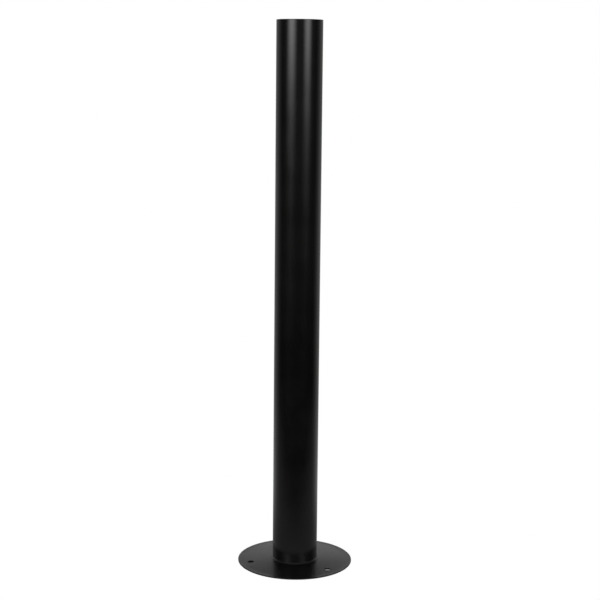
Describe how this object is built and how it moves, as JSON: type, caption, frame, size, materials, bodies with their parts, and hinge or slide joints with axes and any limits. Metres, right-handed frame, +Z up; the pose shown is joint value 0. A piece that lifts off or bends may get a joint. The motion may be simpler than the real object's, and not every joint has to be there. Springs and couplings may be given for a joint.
{
  "type": "bollard post",
  "caption": "Slender round black bollard post: a straight steel tube welded upright to a thin round base plate, slightly coned, with fixing holes, closed at the top by a flush cap.",
  "frame": {"origin": "centre of the base plate's underside, on the ground", "axes": "+Z up along the tube's axis, +Y through one of the fixing holes"},
  "size_m": [0.195, 0.195, 0.915],
  "materials": {
    "plate_coating": "satin black powder coat",
    "tube_coating": "satin black powder coat",
    "weld_coating": "satin black powder coat over a rippled weld",
    "cap_plastic": "fine-grained matte black"
  },
  "bodies": {
    "root": {"base_plate": "plate_coating", "post_tube": "tube_coating", "foot_weld": "weld_coating", "top_cap": "cap_plastic"}
  },
  "joints": []
}
